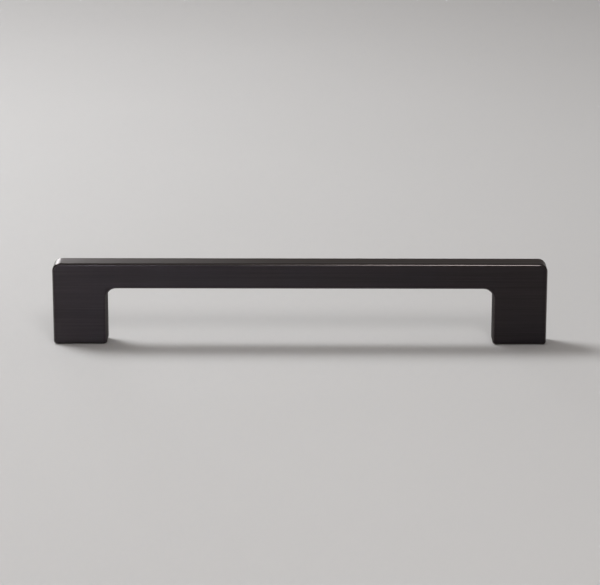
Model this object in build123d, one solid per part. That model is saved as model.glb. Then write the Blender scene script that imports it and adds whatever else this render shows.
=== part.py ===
from build123d import *
import math
import os

# A one-piece metal bow handle: a straight grip that turns down into two broad legs.
# X runs along the grip, Y across it, and Z away from the door or drawer front.
# The origin lies midway between the two screw holes, on the face that meets the front.

# Driving sizes, in millimetres and degrees
hole_spacing = 160.0        # between the two screw holes, centre to centre
leg_width = 19.5            # each leg, along the grip
projection = 30.3           # from the door face to the outer face of the grip
grip_thickness = 9.4        # the grip, away from the door
depth = 9.0                 # the whole handle, across the grip
outer_corner_radius = 2.9   # where the grip's outer face turns into a leg
inner_corner_radius = 3.6   # where the grip's inner face turns into a leg
foot_corner_radius = 1.2    # where a leg's sides turn into its foot
edge_radius = 0.8           # along the front and back outlines
thread_radius = 2.0         # the screw thread's outer radius
thread_length = 13.6        # full-width wall of each screw hole
mouth_chamfer = 0.4         # lead-in at the mouth of each screw hole
drill_point_angle = 118.0   # cone at the blind end of each screw hole

# Sizes that follow from them
overall_length = hole_spacing + leg_width
half_length = overall_length / 2
half_gap = (hole_spacing - leg_width) / 2
gap_height = projection - grip_thickness
mouth_radius = thread_radius + mouth_chamfer
wall_end = mouth_chamfer + thread_length
drill_point_height = thread_radius / math.tan(math.radians(drill_point_angle / 2))


def bow_blank():
    """The bent-bar outline, pushed out to the depth, with its front and back outlines rounded."""
    left_foot_outside = (-half_length, 0)
    left_shoulder = (-half_length, projection)
    right_shoulder = (half_length, projection)
    right_foot_outside = (half_length, 0)
    right_foot_inside = (half_gap, 0)
    right_armpit = (half_gap, gap_height)
    left_armpit = (-half_gap, gap_height)
    left_foot_inside = (-half_gap, 0)
    corners = {
        left_foot_outside: foot_corner_radius,
        left_shoulder: outer_corner_radius,
        right_shoulder: outer_corner_radius,
        right_foot_outside: foot_corner_radius,
        right_foot_inside: foot_corner_radius,
        right_armpit: inner_corner_radius,
        left_armpit: inner_corner_radius,
        left_foot_inside: foot_corner_radius,
    }
    with BuildPart() as blank:
        with BuildSketch(Plane.XZ):
            with BuildLine():
                FilletPolyline(*corners.keys(), radius=list(corners.values()), close=True)
            make_face()
        extrude(amount=depth / 2, both=True)
        fillet(blank.faces().filter_by(Plane.XZ).edges(), edge_radius)
    return blank.part


def screw_hole():
    """The space of one blind screw hole: a chamfered mouth, the wall and the drill's cone."""
    with BuildPart() as hole:
        with BuildSketch(Plane.XZ):
            with BuildLine():
                Polyline(
                    (0, 0),
                    (mouth_radius, 0),
                    (thread_radius, mouth_chamfer),
                    (thread_radius, wall_end),
                    (0, wall_end + drill_point_height),
                    close=True,
                )
            make_face()
        revolve(axis=Axis.Z)
    return hole.part


bow_handle = bow_blank()
for side in (-1, 1):
    bow_handle -= Pos(side * hole_spacing / 2, 0, 0) * screw_hole()

os.makedirs("parts", exist_ok=True)
export_step(bow_handle, "parts/bow_handle.step")
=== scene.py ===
import math

import bpy
from mathutils import Matrix, Vector


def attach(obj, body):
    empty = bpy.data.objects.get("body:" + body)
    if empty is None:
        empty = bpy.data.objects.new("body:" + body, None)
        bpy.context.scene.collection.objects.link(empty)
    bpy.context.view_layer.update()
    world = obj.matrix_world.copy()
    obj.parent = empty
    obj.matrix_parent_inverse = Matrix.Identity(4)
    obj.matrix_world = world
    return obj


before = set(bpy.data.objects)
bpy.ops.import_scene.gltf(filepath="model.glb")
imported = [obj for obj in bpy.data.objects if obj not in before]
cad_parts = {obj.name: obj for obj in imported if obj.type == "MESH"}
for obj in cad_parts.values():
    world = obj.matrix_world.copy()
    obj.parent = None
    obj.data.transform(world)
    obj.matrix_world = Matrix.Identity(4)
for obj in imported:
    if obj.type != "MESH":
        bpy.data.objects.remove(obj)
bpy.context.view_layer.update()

# The handle is one piece of brass, cut to a bow, with all its outlines softened by hand.
# It is brushed along its length, darkened to a brown-black bronze and sealed with a thin wax.
# Hands and cloths have rubbed the rounded edges a little smoother and paler than the flats.


class Shade:
    """One output of a material's node: sums of shades add Math nodes, and add makes any other node."""

    def __init__(self, tree, socket=None):
        self.tree = tree
        self.socket = socket

    def add(self, kind, settings=None, inputs=None, output=0):
        """The chosen output of a new node, whose settings are made before its inputs are set or linked."""
        node = self.tree.nodes.new(kind)
        for name, value in (settings or {}).items():
            setattr(node, name, value)
        for name, value in (inputs or {}).items():
            if isinstance(value, Shade):
                self.tree.links.new(value.socket, node.inputs[name])
            else:
                node.inputs[name].default_value = value
        if len(node.outputs) == 0:
            return None
        return Shade(self.tree, node.outputs[output])

    def math(self, operation, first, second=0.0):
        return self.add("ShaderNodeMath", {"operation": operation}, {0: first, 1: second})

    def __add__(self, other):
        return self.math("ADD", self, other)

    def __radd__(self, other):
        return self.math("ADD", other, self)

    def __sub__(self, other):
        return self.math("SUBTRACT", self, other)

    def __rsub__(self, other):
        return self.math("SUBTRACT", other, self)

    def __mul__(self, other):
        return self.math("MULTIPLY", self, other)

    def __rmul__(self, other):
        return self.math("MULTIPLY", other, self)

    def __pow__(self, other):
        return self.math("POWER", self, other)

    def __abs__(self):
        return self.math("ABSOLUTE", self)

    def part(self, axis):
        """One axis of a place or a direction."""
        return self.add("ShaderNodeSeparateXYZ", None, {0: self}, axis)

    def within(self, low, high):
        """0 below low, 1 above high and a smooth step between them."""
        settings = {"interpolation_type": "SMOOTHSTEP"}
        inputs = {"Value": self, "From Min": low, "From Max": high}
        return self.add("ShaderNodeMapRange", settings, inputs)

    def mix(self, blend, share, first, second):
        """Two colours put together. The node's colour sockets are its inputs 6 and 7 and its output 2."""
        settings = {"data_type": "RGBA", "blend_type": blend}
        return self.add("ShaderNodeMix", settings, {0: share, 6: first, 7: second}, 2)

    def between(self, low_colour, high_colour):
        """A colour that goes from one to the other as this value goes from 0 to 1."""
        return self.mix("MIX", self, low_colour, high_colour)

    def tinted(self, colour):
        """This colour multiplied by another."""
        return self.mix("MULTIPLY", 1.0, self, colour)


def new_finish(name):
    """An empty material, and the shade from which its nodes are added."""
    material = bpy.data.materials.new(name)
    material.use_nodes = True
    material.node_tree.nodes.clear()
    return material, Shade(material.node_tree)


def brushing(place, on_ends, across, along, detail):
    """Fine scratches, so many in a metre, that lie along the grip on the flats and upright on the ends."""
    raggedness = 0.6
    lines = []
    for stretch in ((along, across, across), (across, across, along)):
        mapping_inputs = {"Vector": place, "Scale": stretch}
        mapped = place.add("ShaderNodeMapping", {"vector_type": "POINT"}, mapping_inputs)
        inputs = {"Vector": mapped, "Scale": 1.0, "Detail": detail, "Roughness": raggedness}
        lines.append(place.add("ShaderNodeTexNoise", None, inputs))
    lengthwise, upright = lines
    return lengthwise * (1 - on_ends) + upright * on_ends


def dark_bronze_finish():
    """Brushed brass that was darkened in a bath and rubbed back along its edges."""
    material, shade = new_finish("dark_bronze")
    place = shade.add("ShaderNodeTexCoord", output="Object")
    facing = shade.add("ShaderNodeTexCoord", output="Normal")
    noise_middle = 0.5

    # Two widths of scratch lie over each other, and turn upright where the metal faces the ends
    end_tilt_low = 0.60
    end_tilt_high = 0.80
    scratch_across = 1500.0
    scratch_along = 14.0
    scratch_detail = 4.0
    scratch_share = 0.55
    hairline_across = 9000.0
    hairline_along = 45.0
    hairline_detail = 2.0
    hairline_share = 0.45
    on_ends = abs(facing.part("X")).within(end_tilt_low, end_tilt_high)
    broad_scratches = brushing(place, on_ends, scratch_across, scratch_along, scratch_detail)
    hairlines = brushing(place, on_ends, hairline_across, hairline_along, hairline_detail)
    scratches = scratch_share * broad_scratches + hairline_share * hairlines

    # The bath leaves soft clouds, some a little cooler and some a little warmer
    clouds_in_a_metre = 28.0
    cloud_detail = 3.0
    cloud_low = 0.35
    cloud_high = 0.65
    bronze_cool = (0.0285, 0.0244, 0.0258, 1)
    bronze_warm = (0.0291, 0.0240, 0.0243, 1)
    cloud_inputs = {"Vector": place, "Scale": clouds_in_a_metre, "Detail": cloud_detail}
    clouds = shade.add("ShaderNodeTexNoise", None, cloud_inputs)
    patina = clouds.within(cloud_low, cloud_high).between(bronze_cool, bronze_warm)

    # The sine of twice the tilt is highest halfway round an edge, where the metal is rubbed most
    rounding_low = 0.35
    rounding_high = 1.0
    least_rubbing = 0.35
    uneven_rubbing = 0.5
    rubbed_bronze = (0.150, 0.133, 0.133, 1)
    front_share = abs(facing.part("Y"))
    edge = 2 * front_share * (1 - front_share * front_share) ** 0.5
    rounded = edge.within(rounding_low, rounding_high)
    rubbed = rounded * (least_rubbing + uneven_rubbing * clouds)
    worn = rubbed.between(patina, rubbed_bronze)

    # Inside the bow a brush and a cloth reach less well, so the metal stays duller
    gap_half_length = 0.07025
    gap_height = 0.0209
    edge_radius = 0.0008
    outside_legs = abs(place.part("X")).within(gap_half_length, gap_half_length + edge_radius)
    above_gap = place.part("Z").within(gap_height, gap_height + edge_radius)
    inside_bow = (1 - outside_legs) * (1 - above_gap)

    # Each scratch is a little paler or darker, rougher or smoother, and higher or lower than the next
    scratch_low = 0.25
    scratch_high = 0.75
    grain_dark = (0.74, 0.74, 0.74, 1)
    grain_pale = (1.26, 1.26, 1.25, 1)
    satin_roughness = 0.33
    scratch_roughness = 0.20
    cloud_roughness = 0.06
    rubbed_smoothing = 0.33
    inside_roughness = 0.36
    relief_strength = 0.45
    scratch_depth = 0.00002
    edge_smoothing = 0.7
    colour = worn.tinted(scratches.within(scratch_low, scratch_high).between(grain_dark, grain_pale))
    roughness = (
        satin_roughness
        + scratch_roughness * (scratches - noise_middle)
        + cloud_roughness * (clouds - noise_middle)
        - rubbed_smoothing * rubbed
        + inside_roughness * inside_bow
    )
    relief_inputs = {
        "Strength": relief_strength,
        "Distance": scratch_depth,
        "Height": scratches * (1 - edge_smoothing * rounded),
    }
    relief = shade.add("ShaderNodeBump", None, relief_inputs)

    # The wax dulls the metal a little, except where it is rubbed away
    waxed_metal = 0.8
    bared_metal = 0.2
    wax_gloss = 0.1
    metal_inputs = {
        "Base Color": colour,
        "Metallic": waxed_metal + bared_metal * rounded,
        "Roughness": roughness,
        "Specular IOR Level": wax_gloss,
        "Normal": relief,
    }
    metal = shade.add("ShaderNodeBsdfPrincipled", None, metal_inputs)
    shade.add("ShaderNodeOutputMaterial", None, {"Surface": metal})
    return material


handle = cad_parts["bow_handle"]
dark_bronze = dark_bronze_finish()
handle.data.materials.clear()
handle.data.materials.append(dark_bronze)

# Each foot takes one M4 screw in a thread that is tapped into the blind hole after drilling.
# The ridges are the handle's own metal, so they start just inside the wall of the hole.
# They begin above the countersunk mouth and stop short of the drill's cone, as a tap does.
hole_spacing = 0.160
thread_pitch = 0.0007
thread_turns = 16
thread_start = 0.00075
ridge_foot_radius = 0.00203
ridge_crest_radius = 0.00162
ridge_foot_width = 0.00064
ridge_crest_width = 0.00018


def thread_ridge(name):
    """The ridge's cross-section as a small upright plane, wound up the hole and closed at both ends."""
    steps_per_turn = 36
    merge_distance = 1e-7
    crease_angle = math.radians(30)
    ridge_middle_radius = (ridge_crest_radius + ridge_foot_radius) / 2
    ridge_depth = ridge_foot_radius - ridge_crest_radius
    bpy.ops.object.select_all(action="DESELECT")
    bpy.ops.mesh.primitive_plane_add(size=1.0)
    ridge = bpy.context.object
    ridge.name = name
    bpy.ops.object.mode_set(mode="EDIT")
    bpy.ops.transform.rotate(value=math.radians(90), orient_axis="X", center_override=(0, 0, 0))
    bpy.ops.transform.resize(value=(ridge_depth, 1, ridge_foot_width), center_override=(0, 0, 0))
    bpy.ops.transform.translate(value=(ridge_middle_radius, 0, thread_start))
    bpy.ops.mesh.select_mode(type="VERT")
    bpy.ops.mesh.select_all(action="DESELECT")
    bpy.ops.object.mode_set(mode="OBJECT")
    for corner in ridge.data.vertices:
        corner.select = corner.co.x < ridge_middle_radius
    bpy.ops.object.mode_set(mode="EDIT")
    bpy.ops.transform.resize(
        value=(1, 1, ridge_crest_width / ridge_foot_width),
        center_override=(ridge_crest_radius, 0, thread_start),
    )
    bpy.ops.object.mode_set(mode="OBJECT")

    winding = ridge.modifiers.new("winding", "SCREW")
    winding.axis = "Z"
    winding.angle = math.radians(360)
    winding.screw_offset = thread_pitch
    winding.iterations = thread_turns
    winding.steps = steps_per_turn
    winding.render_steps = steps_per_turn
    bpy.ops.object.modifier_apply(modifier="winding")

    bpy.ops.object.mode_set(mode="EDIT")
    bpy.ops.mesh.select_all(action="SELECT")
    bpy.ops.mesh.remove_doubles(threshold=merge_distance)
    bpy.ops.mesh.select_all(action="DESELECT")
    bpy.ops.mesh.select_mode(type="EDGE")
    bpy.ops.mesh.select_non_manifold()
    bpy.ops.mesh.fill_holes(sides=0)
    bpy.ops.mesh.select_all(action="SELECT")
    bpy.ops.mesh.normals_make_consistent(inside=False)
    bpy.ops.object.mode_set(mode="OBJECT")
    bpy.ops.object.shade_smooth_by_angle(angle=crease_angle)
    ridge.data.materials.append(dark_bronze)
    return ridge


left_thread = thread_ridge("left_thread")
right_thread = left_thread.copy()
right_thread.data = left_thread.data.copy()
right_thread.name = "right_thread"
bpy.context.collection.objects.link(right_thread)
for thread, hole_place in ((left_thread, -hole_spacing / 2), (right_thread, hole_spacing / 2)):
    thread.data.transform(Matrix.Translation((hole_place, 0, 0)))
    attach(thread, "root")

# The handle stands on its two feet on a wide pale floor with a dull, even surface.
# It is large enough to fill the picture behind the handle, so no edge of it shows.
floor_width = 8.0
floor_drop = 0.00005


def pale_floor_finish():
    """A matt pale grey paint with hardly any sheen."""
    patches_in_a_metre = 3.0
    patch_detail = 2.0
    darker_paint = (0.60, 0.60, 0.60, 1)
    paler_paint = (0.64, 0.64, 0.64, 1)
    matt_roughness = 0.9
    paint_gloss = 0.1
    material, shade = new_finish("pale_floor")
    place = shade.add("ShaderNodeTexCoord", output="Object")
    patch_inputs = {"Vector": place, "Scale": patches_in_a_metre, "Detail": patch_detail}
    patches = shade.add("ShaderNodeTexNoise", None, patch_inputs)
    paint_inputs = {
        "Base Color": patches.between(darker_paint, paler_paint),
        "Roughness": matt_roughness,
        "Specular IOR Level": paint_gloss,
    }
    paint = shade.add("ShaderNodeBsdfPrincipled", None, paint_inputs)
    shade.add("ShaderNodeOutputMaterial", None, {"Surface": paint})
    return material


bpy.ops.object.select_all(action="DESELECT")
bpy.ops.mesh.primitive_plane_add(size=floor_width, location=(0, 0, -floor_drop))
floor = bpy.context.object
floor.name = "floor"
floor.data.materials.append(pale_floor_finish())

# A soft key lamp stands above and behind the handle's left end and throws the shadow to the front right.
# Three lamps further back shine on the left shoulder and fade along the top, and two in front draw the
# bright line on the right of the upper edge and fill the left of the front. A dim grey room is all around.


def soft_lamp(name, place, target, width, height, watts, colour=(1.0, 1.0, 1.0), beam=180):
    """A rectangular soft lamp at a place, turned to face a target, with its beam's angle in degrees."""
    bpy.ops.object.select_all(action="DESELECT")
    aim = Vector(target) - Vector(place)
    turn = aim.to_track_quat("-Z", "Y").to_euler()
    bpy.ops.object.light_add(type="AREA", location=place, rotation=turn)
    lamp = bpy.context.object
    lamp.name = name
    lamp.data.shape = "RECTANGLE"
    lamp.data.size = width
    lamp.data.size_y = height
    lamp.data.energy = watts
    lamp.data.color = colour
    lamp.data.spread = math.radians(beam)


left_of_middle = (-0.05, 0, 0.015)
left_end = (-0.09, 0, 0.03)
right_of_middle = (0.05, 0, 0.025)
past_left_end = (-0.17, 0, 0.015)
rosy_white = (1.0, 0.965, 0.975)
warm_white = (1.0, 0.97, 0.95)
cool_white = (0.90, 0.97, 1.16)
soft_lamp("key_lamp", (-0.60, 0.41, 0.88), left_of_middle, width=0.46, height=0.46, watts=9.2)
soft_lamp("low_lamp", (-0.86, 2.88, 0.26), left_end, width=0.50, height=0.42, watts=5.5)
soft_lamp("back_lamp", (-0.38, 1.50, 0.36), left_end, width=0.20, height=0.36, watts=1.05, colour=rosy_white)
soft_lamp("back_glow", (-0.49, 1.60, 0.36), left_end, width=0.80, height=0.45, watts=0.45, colour=rosy_white)
soft_lamp(
    "edge_lamp",
    (0.120, -0.62, 0.55),
    right_of_middle,
    width=0.16,
    height=0.24,
    watts=1.45,
    colour=warm_white,
)
soft_lamp(
    "fill_lamp",
    (-0.40, -1.54, 0.090),
    past_left_end,
    width=0.45,
    height=0.15,
    watts=0.132,
    colour=cool_white,
    beam=20,
)

horizon_light = (0.195, 0.170, 0.158, 1)
ceiling_light = (0.270, 0.260, 0.250, 1)
ceiling_low = 0.45
ceiling_high = 0.95
room = bpy.data.worlds.new("room")
bpy.context.scene.world = room
room.use_nodes = True
room.node_tree.nodes.clear()
walls = Shade(room.node_tree)
upward = walls.add("ShaderNodeTexCoord", output="Generated").part("Z")
room_light = upward.within(ceiling_low, ceiling_high).between(horizon_light, ceiling_light)
glow = walls.add("ShaderNodeBackground", None, {"Color": room_light, "Strength": 1.0})
walls.add("ShaderNodeOutputWorld", None, {"Surface": glow})

# The camera looks at the front from a little above, almost square on.
# It stands about a metre away with a long lens, so the two legs look nearly upright.
camera_elevation = math.radians(14.93)
camera_azimuth = math.radians(0.37)
camera_distance = 0.9607
camera_target = Vector((0.00008, 0.0, 0.01843))
camera_lens = 158.15
film_width = 36.0
nearest_seen = 0.01
farthest_seen = 50.0

camera_direction = Vector(
    (
        math.sin(camera_azimuth) * math.cos(camera_elevation),
        -math.cos(camera_azimuth) * math.cos(camera_elevation),
        math.sin(camera_elevation),
    )
)
bpy.ops.object.camera_add(
    location=camera_target + camera_direction * camera_distance,
    rotation=(math.pi / 2 - camera_elevation, 0, camera_azimuth),
)
camera = bpy.context.object
camera.name = "camera"
camera.data.sensor_width = film_width
camera.data.lens = camera_lens
camera.data.clip_start = nearest_seen
camera.data.clip_end = farthest_seen
bpy.context.scene.camera = camera
bpy.context.scene.view_settings.view_transform = "Standard"
